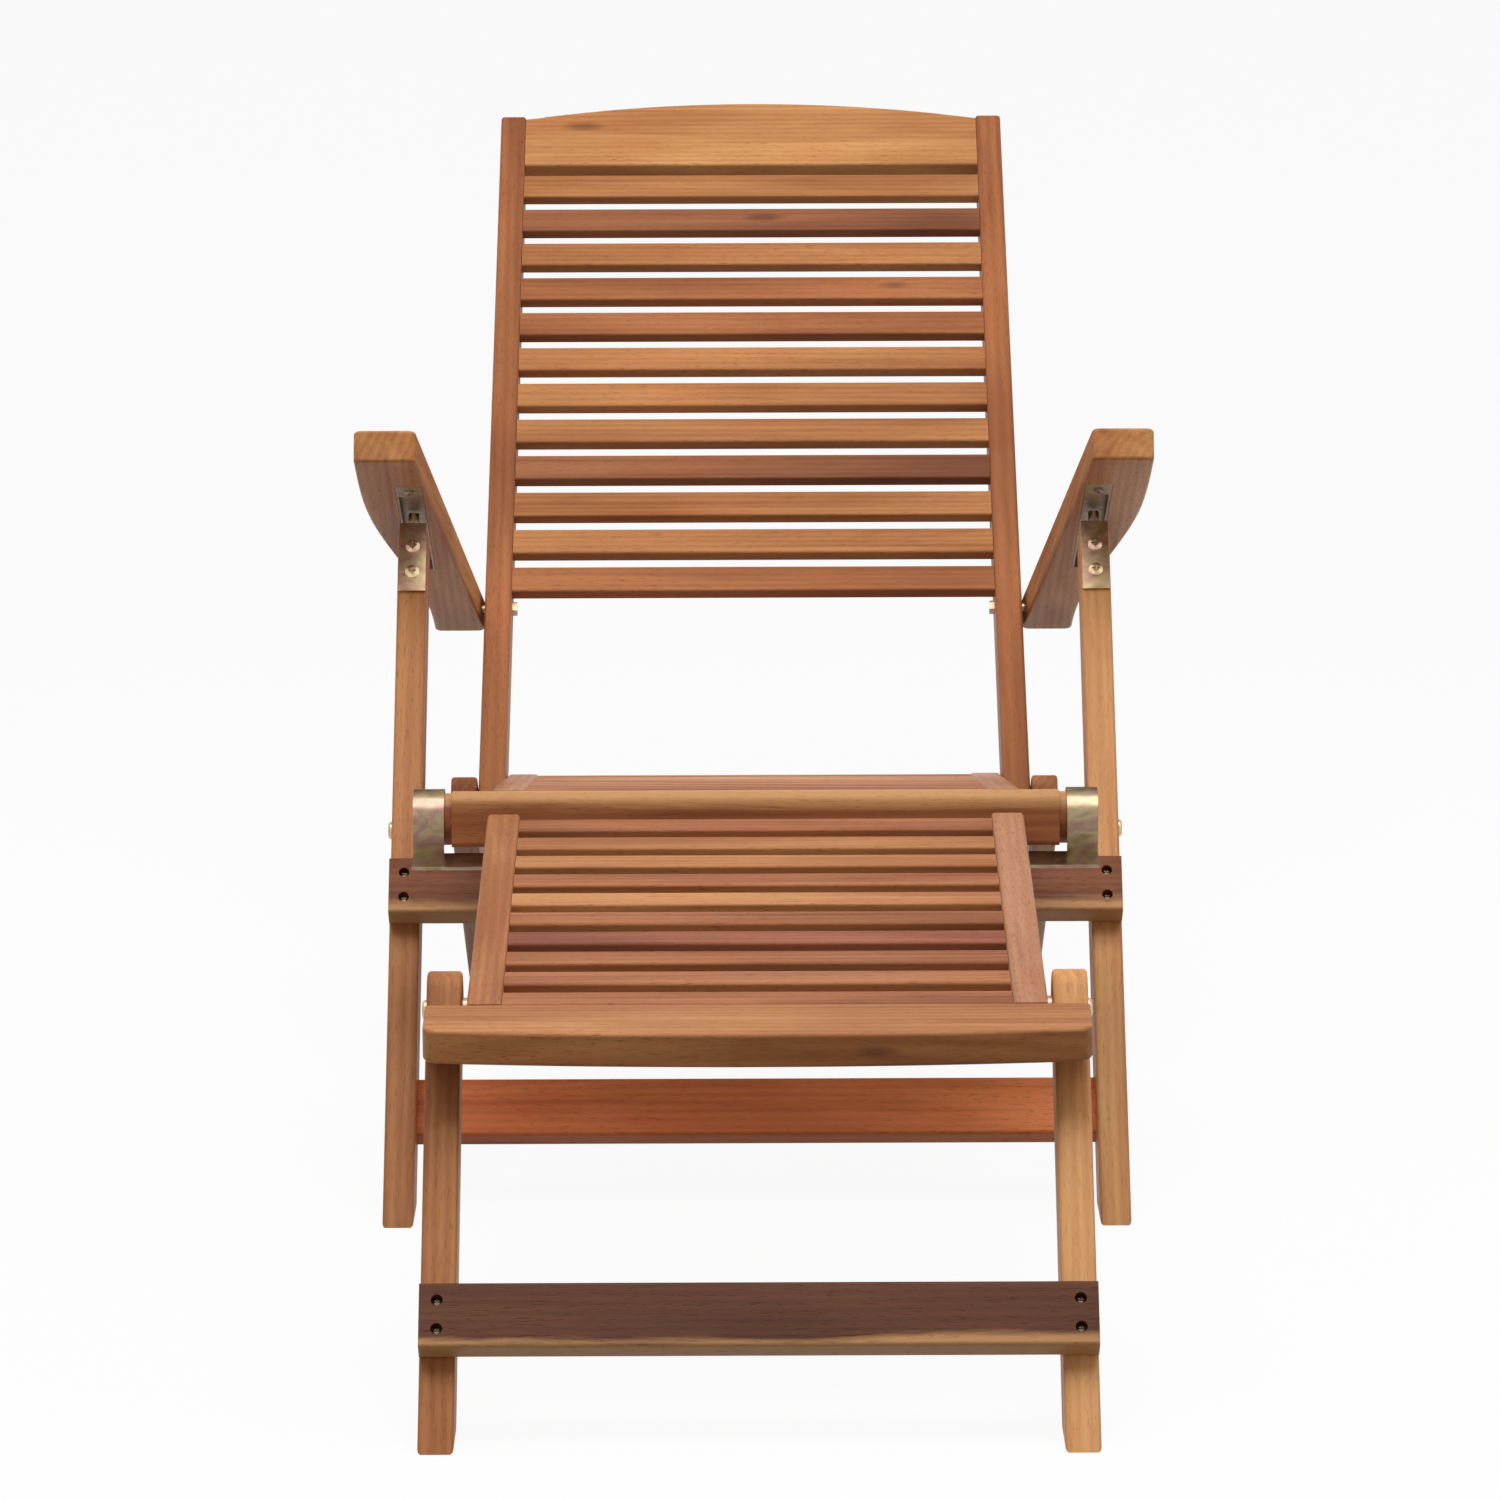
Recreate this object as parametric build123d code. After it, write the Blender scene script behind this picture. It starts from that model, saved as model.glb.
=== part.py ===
"""Folding wooden sun lounger with slatted seat, reclining back, armrests and a hook-on leg rest.

Frame: +X across the lounger, +Y towards the head end, +Z up. Millimetres and degrees.
The floor is Z = 0 and the origin is under the middle of the whole lounger.
"""
import os
from math import cos, radians, sin

from build123d import *

# Pose in the side view
LEG_PIVOT_Z = 240.0
LEG_ANGLE = 40.2
SEAT_ANGLE = 9.7
BACK_ANGLE = 32.7
REAR_LEG_ANGLE = 30.4
LEG_REST_ANGLE = 5.45

# Seat
SEAT_W = 380.0
RAIL_T = 23.0
RAIL_H = 50.0
SEAT_ABOVE_PIVOT = 33.0
SEAT_FORE = 135.0
SEAT_AFT = 292.0
FRONT_BAR = (40.0, 39.0)
FRONT_BAR_L = 432.0
FRONT_BAR_ROUND = 8.0
FRONT_BAR_FOOT_R = 4.0
SPIGOT_R = 18.5
SPIGOT_L = 27.0
SEAT_SLATS = 10
SEAT_SLAT_W = 30.0
SEAT_SLAT_T = 14.0
SLAT_SET_DOWN = 1.0
RAIL_END_R = 8.0

# Arm legs with their crossbars
ARM_LEG_INSIDE = 488.0
ARM_LEG_T = 22.0
ARM_LEG_D = 44.0
ARM_LEG_TOP = 246.0
CROSSBAR_W = 45.0
CROSSBAR_T = 20.0
LOWER_BAR_DROP = 226.0
LOWER_BAR_T = 18.0
LEG_TOP_R = 5.0
BAR_SCREW_PITCH = 20.0

# Back
BACK_PIVOT_INSET = 39.0
STILE_T = 21.0
STILE_D = 42.0
STILE_L = 824.0
STILE_TOP_R = 6.0
BACK_SLATS = 12
BACK_SLAT_W = 28.0
BACK_SLAT_T = 10.0
LOW_SLAT_R = 240.0
TOP_RAIL_T = 16.0
TOP_RAIL_END = 62.0
TOP_RAIL_CROWN = 20.0
TOP_RAIL_GAP = 14.0
TOP_RAIL_BELOW = 4.4

# Rear legs
REAR_LEG_T = 20.0
REAR_LEG_D = 42.0
REAR_LEG_TOP_R = 10.5
REAR_BAR_R = 230.0

# Armrests
ARM_PIVOT_R = 226.0
ARM_ANGLE = 24.6
ARM_T = 24.0
ARM_FORE = 472.0
ARM_AFT = 24.0
ARM_REAR_W = 40.0
ARM_FRONT_W = 45.0
ARM_SPLAY = 34.0
ARM_SWELL = 6.0
ARM_SWELL_SHARE = 0.2
ARM_HOLLOW_SHARE = 0.62
ARM_TIP_R = 6.0
ARM_EDGE_R = 2.5
ARM_BOLT_DEPTH = 26.0
TRACK_W = 20.0
TRACK_H = 9.0
TRACK_WALL = 1.6
TRACK_L = 212.0
TRACK_AHEAD = 68.0
TRACK_TAB = 26.0
BRACKET_W = 20.0
BRACKET_T = 2.5
BRACKET_L = 56.0
STUD_R = 4.0
STUD_IN_TRACK = 5.0
STUD_FORE = 12.0
BRACKET_SCREWS = (18.0, 40.0)

# Leg rest
LEG_REST_RAIL_H = 32.0
LEG_REST_RAIL_L = 422.0
LEG_REST_CLEAR = 30.0
LEG_REST_TOP = 12.5
LEG_REST_SLATS = 10
LEG_REST_SLAT_W = 26.0
LEG_REST_SLAT_T = 13.0
SLAT_REAR_GAP = 8.0
SLAT_FRONT_GAP = 2.5
PLANK_W = 63.0
PLANK_T = 23.0
PLANK_L = 434.0
PLANK_BOW = 10.0
PLANK_CORNER = 12.0
REST_LEG_INSIDE = 388.0
REST_LEG_T = 23.0
REST_LEG_D = 40.0
REST_LEG_TOP = 26.0
REST_PIVOT_BACK = 36.5
REST_BAR_DROP = 237.0
HOOK_W = 22.0
HOOK_T = 2.5
HOOK_TAB = 30.0
HOOK_TAIL = 8.0
HOOK_SCREW_PITCH = 11.0

# Fits and small hardware
RIGHT = 90.0
PIVOT_GAP = 1.0
RUN = 0.05
SLIP = 0.5
TOUCH = 0.3
BOLT_R = 3.0
BOLT_HEAD_R = 6.5
BOLT_HEAD_H = 3.5
BOLT_DOME_R = 2.4
NUT_R = 5.75
NUT_H = 4.0
SPACER_R = 8.0
SCREW_R = 2.0
SCREW_HEAD_R = 3.4
PAN_HEAD_R = 5.3
SCREW_HEAD_H = 2.6
SCREW_L = 22.0
CROSS_W = 1.0
CROSS_SHARE = 1.2
CROSS_DEPTH = 1.4
SINK = 4.0
EDGE_R = 2.5
SLAT_EDGE_R = 2.0


def along(angle, length, start=(0.0, 0.0)):
    """Point at a length from start, with the angle measured from +Y towards +Z."""
    a = radians(angle)
    return (start[0] + length * cos(a), start[1] + length * sin(a))


def local(origin, angle, s, t):
    """Point s along a direction and t to its left, in the side view."""
    return along(angle + RIGHT, t, along(angle, s, origin))


def strip(origin, angle, s0, s1, t0, t1):
    """Rectangle in the side view, along a direction from an origin."""
    corners = [local(origin, angle, s, t) for s, t in ((s0, t0), (s1, t0), (s1, t1), (s0, t1))]
    return make_face(Polyline(*corners, close=True))


def soften(face, near, radius):
    """Round the two corners of a side-view face that lie nearest to a point."""
    target = Vector(near[0], near[1], 0.0)
    corners = sorted(face.vertices(), key=lambda v: (Vector(v.X, v.Y, v.Z) - target).length)
    return fillet(corners[:2], radius)


def across(face, x0, x1):
    """Extrude a side-view face from one X to another."""
    return extrude(Plane.YZ.offset(x0) * face, amount=x1 - x0)


def rod(point, radius, x0, x1):
    """Round bar along X through a side-view point."""
    return across(Pos(point[0], point[1]) * Circle(radius), x0, x1)


def ease(solid, radius):
    """Round the long edges of a board that is extruded along X."""
    return fillet(solid.edges().filter_by(Axis.X), radius)


def ease_sides(solid, radius):
    """Round the edges around the two flat sides of a board that is extruded along X."""
    ends = solid.faces().sort_by(Axis.X)
    return fillet(ends[0].edges() + ends[-1].edges(), radius)


def pair(solid):
    """The right-hand piece and its mirror image on the left."""
    return {"right": solid, "left": mirror(solid, Plane.YZ)}


def both(*solids):
    """A group that holds every solid and its mirror image."""
    return Compound([s for solid in solids for s in (solid, mirror(solid, Plane.YZ))])


def screw(head_at, direction, length=SCREW_L, head_r=SCREW_HEAD_R):
    """Cross-recessed pan-head screw, its head's underside at a point, driven along a direction."""
    seat = Plane(origin=head_at, z_dir=direction)
    profile = make_face(Polyline((0, length), (SCREW_R, length), (SCREW_R, 0), (head_r, 0),
                                 (head_r, -SCREW_HEAD_H / 2), (head_r / 2, -SCREW_HEAD_H),
                                 (0, -SCREW_HEAD_H), close=True))
    body = revolve(Plane.XZ * profile, Axis.Z)
    blade = Pos(0, 0, -SCREW_HEAD_H) * Box(CROSS_SHARE * head_r, CROSS_W, 2 * CROSS_DEPTH)
    return seat * (body - blade - Rot(0, 0, RIGHT) * blade)


def screw_hole(head_at, direction, length=SCREW_L, head_r=SCREW_HEAD_R):
    """Clearance for a screw: its shank below the seat and a bore for the head above it."""
    seat = Plane(origin=head_at, z_dir=direction)
    base = (Align.CENTER, Align.CENTER, Align.MIN)
    bore = Pos(0, 0, -SCREW_L) * Cylinder(head_r + SLIP, SCREW_L, align=base)
    return seat * (bore + Cylinder(SCREW_R + RUN, length + SLIP, align=base))


# Key points and directions of the side view, as (Y, Z) pairs before centring
SEAT_DIR = -SEAT_ANGLE
LEG_DIR = RIGHT - LEG_ANGLE
REAR_LEG_DIR = -REAR_LEG_ANGLE
LEG_PIVOT = (0.0, LEG_PIVOT_Z)
RAIL_FLOOR = SEAT_ABOVE_PIVOT - RAIL_H
BACK_PIVOT_S = SEAT_AFT - BACK_PIVOT_INSET
BACK_PIVOT = local(LEG_PIVOT, SEAT_DIR, BACK_PIVOT_S, SEAT_ABOVE_PIVOT - RAIL_H / 2)
FRONT_BAR_S = -SEAT_FORE - FRONT_BAR[0] / 2
HOOK_AXIS = local(LEG_PIVOT, SEAT_DIR, FRONT_BAR_S, SEAT_ABOVE_PIVOT - FRONT_BAR[1] / 2)
ARM_PIVOT = along(BACK_ANGLE, ARM_PIVOT_R, BACK_PIVOT)
REST_FRONT = -LEG_REST_CLEAR - LEG_REST_RAIL_L
REST_FLOOR = LEG_REST_TOP - LEG_REST_RAIL_H
REST_PIVOT_T = LEG_REST_TOP - LEG_REST_RAIL_H / 2
REST_PIVOT = local(HOOK_AXIS, LEG_REST_ANGLE, REST_FRONT + REST_PIVOT_BACK, REST_PIVOT_T)

# The stud on each arm leg, by its foot and its distance along the armrest from the arm's pivot
STUD_FOOT = local(LEG_PIVOT, LEG_DIR, ARM_LEG_TOP + BRACKET_T / 2, STUD_FORE)
ARM_DIR = along(2 * RIGHT - ARM_ANGLE, 1.0)
ARM_UP = along(RIGHT - ARM_ANGLE, 1.0)
FROM_ARM_PIVOT = (STUD_FOOT[0] - ARM_PIVOT[0], STUD_FOOT[1] - ARM_PIVOT[1])
STUD_RUN = FROM_ARM_PIVOT[0] * ARM_DIR[0] + FROM_ARM_PIVOT[1] * ARM_DIR[1]
STUD_RISE = FROM_ARM_PIVOT[0] * ARM_UP[0] + FROM_ARM_PIVOT[1] * ARM_UP[1]
TRACK_TO = STUD_RUN + TRACK_AHEAD
TRACK_FROM = TRACK_TO - TRACK_L

# Layers from the middle outwards, as X of the right-hand faces
RAIL_OUT = SEAT_W / 2
RAIL_IN = RAIL_OUT - RAIL_T
STILE_IN = RAIL_OUT + PIVOT_GAP
STILE_OUT = STILE_IN + STILE_T
REAR_LEG_IN = STILE_OUT + PIVOT_GAP
REAR_LEG_OUT = REAR_LEG_IN + REAR_LEG_T
ARM_LEG_IN = ARM_LEG_INSIDE / 2
ARM_LEG_OUT = ARM_LEG_IN + ARM_LEG_T
ARM_LEG_MID = ARM_LEG_IN + ARM_LEG_T / 2
REST_LEG_IN = REST_LEG_INSIDE / 2
REST_LEG_OUT = REST_LEG_IN + REST_LEG_T
HOOK_OUT = ARM_LEG_IN - SLIP
HOOK_IN = HOOK_OUT - HOOK_W

# The upper crossbar stops the seat rails: its upper front corner lies just under them
LEG_TO_SEAT = radians(LEG_DIR - SEAT_DIR)
BAR_FRONT = ARM_LEG_D / 2 + CROSSBAR_T
UPPER_BAR_TOP = (BAR_FRONT * cos(LEG_TO_SEAT) - RAIL_FLOOR + TOUCH) / sin(LEG_TO_SEAT)
UPPER_BAR_DROP = UPPER_BAR_TOP + CROSSBAR_W / 2


def standing(face):
    """Cut a side-view face level with the floor."""
    return face & Pos(0, STILE_L) * Rectangle(4 * STILE_L, 2 * STILE_L)


def bolt(point, x0, x1):
    """Dome-headed bolt along X with its head outside x1 and a nut inside x0."""
    shank = rod(point, BOLT_R, x0 - NUT_H, x1 + BOLT_HEAD_H)
    head = rod(point, BOLT_HEAD_R, x1, x1 + BOLT_HEAD_H)
    head = fillet(head.edges().sort_by(Axis.X)[-1], BOLT_DOME_R)
    nut = across(Pos(point[0], point[1]) * RegularPolygon(NUT_R, 6), x0 - NUT_H, x0)
    return shank + head + nut


def bolt_hole(point, x0, x1):
    """Running hole for a pivot bolt."""
    return rod(point, BOLT_R + RUN, x0 - SLIP, x1 + SLIP)


def crossbar(origin, face_t, drop, thickness, half_length):
    """Crossbar on the front of a pair of legs, a drop below their pivot."""
    half = CROSSBAR_W / 2
    face = strip(origin, LEG_DIR, -drop - half, -drop + half, face_t, face_t + thickness)
    return ease(across(face, -half_length, half_length), EDGE_R)


def bar_screws(origin, face_t, drop, thickness, x):
    """Seats of the two screws at each end of a crossbar, with their driving direction."""
    back = along(LEG_DIR - RIGHT, 1.0)
    seats = []
    for step in (-BAR_SCREW_PITCH / 2, BAR_SCREW_PITCH / 2):
        y, z = local(origin, LEG_DIR, -drop + step, face_t + thickness - SINK - SCREW_HEAD_H)
        seats.append(((x, y, z), (0.0, back[0], back[1])))
    return seats


def seat_frame():
    """Side rails, front bar with turned spigots, slats and the back's pivot bolts."""
    face = strip(LEG_PIVOT, SEAT_DIR, -SEAT_FORE, SEAT_AFT, RAIL_FLOOR, SEAT_ABOVE_PIVOT)
    face = soften(face, local(LEG_PIVOT, SEAT_DIR, SEAT_AFT, RAIL_FLOOR + RAIL_H / 2), RAIL_END_R)
    rail = ease_sides(across(face, RAIL_IN, RAIL_OUT), EDGE_R)
    rail -= bolt_hole(LEG_PIVOT, RAIL_IN, RAIL_OUT) + bolt_hole(BACK_PIVOT, RAIL_IN, RAIL_OUT)
    nodes = {f"seat_rail_{side}": s for side, s in pair(rail).items()}

    depth, height = FRONT_BAR
    face = strip(HOOK_AXIS, SEAT_DIR, -depth / 2, depth / 2, -height / 2, height / 2)
    face = soften(face, local(HOOK_AXIS, SEAT_DIR, 0, height / 2), FRONT_BAR_ROUND)
    face = soften(face, local(HOOK_AXIS, SEAT_DIR, 0, -height / 2), FRONT_BAR_FOOT_R)
    bar = across(face, -FRONT_BAR_L / 2, FRONT_BAR_L / 2)
    reach = FRONT_BAR_L / 2 + SPIGOT_L
    nodes["seat_front_bar"] = bar + rod(HOOK_AXIS, SPIGOT_R, -reach, reach)

    pitch = (SEAT_FORE + SEAT_AFT) / SEAT_SLATS
    half = SEAT_SLAT_W / 2
    top = SEAT_ABOVE_PIVOT - SLAT_SET_DOWN
    slats = []
    for i in range(SEAT_SLATS):
        s = -SEAT_FORE + pitch * (i + 0.5)
        face = strip(LEG_PIVOT, SEAT_DIR, s - half, s + half, top - SEAT_SLAT_T, top)
        slats.append(ease(across(face, -RAIL_IN, RAIL_IN), SLAT_EDGE_R))
    nodes["seat_slats"] = Compound(slats)
    nodes["back_pivot_bolts"] = both(bolt(BACK_PIVOT, RAIL_IN, REAR_LEG_OUT))
    return nodes


def leg_frame():
    """Arm legs, their two crossbars, pivot bolts, spacers, top brackets and screws."""
    foot = ARM_LEG_D + LEG_PIVOT_Z / cos(radians(LEG_ANGLE))
    face = strip(LEG_PIVOT, LEG_DIR, -foot, ARM_LEG_TOP, -ARM_LEG_D / 2, ARM_LEG_D / 2)
    face = standing(soften(face, along(LEG_DIR, ARM_LEG_TOP, LEG_PIVOT), LEG_TOP_R))
    leg = ease_sides(across(face, ARM_LEG_IN, ARM_LEG_OUT), EDGE_R)
    leg -= bolt_hole(LEG_PIVOT, ARM_LEG_IN, ARM_LEG_OUT)
    upper = crossbar(LEG_PIVOT, ARM_LEG_D / 2, UPPER_BAR_DROP, CROSSBAR_T, ARM_LEG_OUT)
    lower = crossbar(LEG_PIVOT, -LOWER_BAR_T, LOWER_BAR_DROP, LOWER_BAR_T, ARM_LEG_IN)

    bar_seats = bar_screws(LEG_PIVOT, ARM_LEG_D / 2, UPPER_BAR_DROP, CROSSBAR_T, ARM_LEG_MID)
    front = along(LEG_DIR + RIGHT, 1.0)
    strap_seats = []
    for up in BRACKET_SCREWS:
        y, z = local(LEG_PIVOT, LEG_DIR, ARM_LEG_TOP - up, ARM_LEG_D / 2 + BRACKET_T)
        strap_seats.append(((ARM_LEG_MID, y, z), (0.0, -front[0], -front[1])))
    for at, way in bar_seats:
        hole = screw_hole(at, way)
        upper -= hole + mirror(hole, Plane.YZ)
        leg -= hole
    for at, way in strap_seats:
        leg -= screw_hole(at, way, head_r=PAN_HEAD_R)

    face = strip(LEG_PIVOT, LEG_DIR, ARM_LEG_TOP - BRACKET_L, ARM_LEG_TOP + BRACKET_T,
                 ARM_LEG_D / 2, ARM_LEG_D / 2 + BRACKET_T)
    face += strip(LEG_PIVOT, LEG_DIR, ARM_LEG_TOP, ARM_LEG_TOP + BRACKET_T,
                  -STUD_FORE, ARM_LEG_D / 2 + BRACKET_T)
    strap = across(face, ARM_LEG_MID - BRACKET_W / 2, ARM_LEG_MID + BRACKET_W / 2)
    stud_l = STUD_IN_TRACK - ARM_T / 2 - STUD_RISE
    stud_plane = Plane(origin=(ARM_LEG_MID, *STUD_FOOT), z_dir=(0.0, *ARM_UP))
    strap += stud_plane * Cylinder(STUD_R, stud_l, align=(Align.CENTER, Align.CENTER, Align.MIN))
    for at, way in strap_seats:
        strap -= screw_hole(at, way, head_r=PAN_HEAD_R)

    nodes = {f"arm_leg_{side}": s for side, s in pair(leg).items()}
    nodes["upper_crossbar"] = upper
    nodes["lower_crossbar"] = lower
    nodes |= {f"leg_top_bracket_{side}": s for side, s in pair(strap).items()}
    spacer = rod(LEG_PIVOT, SPACER_R, RAIL_OUT + TOUCH, ARM_LEG_IN)
    spacer -= bolt_hole(LEG_PIVOT, RAIL_OUT, ARM_LEG_IN)
    nodes["leg_pivot_bolts"] = both(bolt(LEG_PIVOT, RAIL_IN, ARM_LEG_OUT), spacer)
    nodes["crossbar_screws"] = both(*[screw(at, way) for at, way in bar_seats])
    nodes["bracket_screws"] = both(*[screw(at, way, head_r=PAN_HEAD_R) for at, way in strap_seats])
    return nodes


def back():
    """Stiles, slats and the arched top rail."""
    face = strip(BACK_PIVOT, BACK_ANGLE, -STILE_D / 2, STILE_L, -STILE_D / 2, STILE_D / 2)
    face = soften(face, BACK_PIVOT, STILE_D / 2 - SLIP)
    face = soften(face, along(BACK_ANGLE, STILE_L, BACK_PIVOT), STILE_TOP_R)
    stile = ease_sides(across(face, STILE_IN, STILE_OUT), EDGE_R)
    stile -= bolt_hole(BACK_PIVOT, STILE_IN, STILE_OUT) + bolt_hole(ARM_PIVOT, STILE_IN, STILE_OUT)
    nodes = {f"back_stile_{side}": s for side, s in pair(stile).items()}

    high = STILE_L - TOP_RAIL_BELOW
    low = high - TOP_RAIL_END
    half = BACK_SLAT_W / 2
    pitch = (low - TOP_RAIL_GAP - half - LOW_SLAT_R) / (BACK_SLATS - 1)
    slat_face = STILE_D / 2 - SLAT_SET_DOWN
    for i in range(BACK_SLATS):
        r = LOW_SLAT_R + i * pitch
        face = strip(BACK_PIVOT, BACK_ANGLE, r - half, r + half, slat_face - BACK_SLAT_T, slat_face)
        nodes[f"back_slat_{i + 1:02d}"] = ease(across(face, -STILE_IN, STILE_IN), SLAT_EDGE_R)

    plane = Plane(origin=(0.0, *BACK_PIVOT), x_dir=(1, 0, 0), z_dir=(0.0, *along(BACK_ANGLE + RIGHT, 1.0)))
    arch = ThreePointArc((STILE_IN, high), (0, high + TOP_RAIL_CROWN), (-STILE_IN, high))
    sides = Polyline((-STILE_IN, high), (-STILE_IN, low), (STILE_IN, low), (STILE_IN, high))
    rail = plane.offset(slat_face - TOP_RAIL_T) * extrude(make_face([arch, sides]), amount=TOP_RAIL_T)
    long_edges = [e for e in rail.edges() if e.length > STILE_IN]
    nodes["top_rail"] = fillet(long_edges, EDGE_R)
    return nodes


def rear_legs():
    """Rear legs and the stretcher between them."""
    reach = REAR_LEG_D + BACK_PIVOT[1] / sin(radians(REAR_LEG_ANGLE))
    face = strip(BACK_PIVOT, REAR_LEG_DIR, -REAR_LEG_D / 2, reach, -REAR_LEG_D / 2, REAR_LEG_D / 2)
    face = standing(soften(face, BACK_PIVOT, REAR_LEG_TOP_R))
    leg = ease_sides(across(face, REAR_LEG_IN, REAR_LEG_OUT), EDGE_R)
    leg -= bolt_hole(BACK_PIVOT, REAR_LEG_IN, REAR_LEG_OUT)
    nodes = {f"rear_leg_{side}": s for side, s in pair(leg).items()}
    face = strip(BACK_PIVOT, REAR_LEG_DIR, REAR_BAR_R - CROSSBAR_W / 2, REAR_BAR_R + CROSSBAR_W / 2,
                 -LOWER_BAR_T / 2, LOWER_BAR_T / 2)
    nodes["rear_stretcher"] = ease(across(face, -REAR_LEG_IN, REAR_LEG_IN), EDGE_R)
    return nodes


def armrests():
    """Armrests with a grooved underside, their adjusting tracks and their pivot bolts."""
    down = along(-RIGHT - ARM_ANGLE, 1.0)
    plane = Plane(origin=(0.0, *ARM_PIVOT), x_dir=(1, 0, 0), z_dir=(0.0, *down))
    inner = STILE_OUT + PIVOT_GAP
    front_in = inner + ARM_SPLAY
    rear_out = inner + ARM_REAR_W
    front_out = front_in + ARM_FRONT_W
    outer = Spline((rear_out, -ARM_AFT), (rear_out + ARM_SWELL, ARM_FORE * ARM_SWELL_SHARE),
                   (front_out - ARM_SWELL, ARM_FORE * ARM_HOLLOW_SHARE), (front_out, ARM_FORE),
                   tangents=((0, 1), (0, 1)))
    edge = Polyline((front_out, ARM_FORE), (front_in, ARM_FORE), (inner, -ARM_AFT), (rear_out, -ARM_AFT))
    plan = make_face([outer, edge])
    plan = fillet(plan.vertices(), ARM_TIP_R)
    board = plane.offset(-ARM_T / 2) * extrude(plan, amount=ARM_T)
    faces = board.faces().sort_by(Axis((0, *ARM_PIVOT), (0, *down)))
    board = fillet(faces[0].edges() + faces[-1].edges(), ARM_EDGE_R)

    base = (Align.CENTER, Align.MIN, Align.MAX)
    under = plane * Pos(ARM_LEG_MID, TRACK_FROM, ARM_T / 2)
    tab_at = under * Pos(0, TRACK_L, 0)
    groove = under * Box(TRACK_W + 2 * TOUCH, TRACK_L + TOUCH, TRACK_H, align=base)
    groove += tab_at * Box(TRACK_W + 2 * TOUCH, TRACK_TAB + TOUCH, TRACK_WALL, align=base)
    board -= groove + bolt_hole(ARM_PIVOT, inner, inner + ARM_BOLT_DEPTH)

    track = under * Box(TRACK_W, TRACK_L, TRACK_H, align=base)
    track -= under * Pos(0, TRACK_WALL, 0) * Box(
        TRACK_W - 2 * TRACK_WALL, TRACK_L - 2 * TRACK_WALL, TRACK_H - TRACK_WALL, align=base)
    track += tab_at * Box(TRACK_W, TRACK_TAB, TRACK_WALL, align=base)
    seat_at = (tab_at * Pos(0, TRACK_TAB / 2, 0)).position
    way = (0.0, -down[0], -down[1])
    hole = screw_hole(seat_at, way, ARM_T / 2)
    board -= hole
    track -= hole
    fixing = screw(seat_at, way, ARM_T / 2)

    nodes = {f"armrest_{side}": s for side, s in pair(board).items()}
    nodes |= {f"arm_track_{side}": s for side, s in pair(Compound([track, fixing])).items()}
    pin = rod(ARM_PIVOT, BOLT_R, STILE_IN - NUT_H, inner + ARM_BOLT_DEPTH)
    pin += across(Pos(*ARM_PIVOT) * RegularPolygon(NUT_R, 6), STILE_IN - NUT_H, STILE_IN)
    nodes |= {f"arm_pivot_bolt_{side}": s for side, s in pair(pin).items()}
    return nodes


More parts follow.
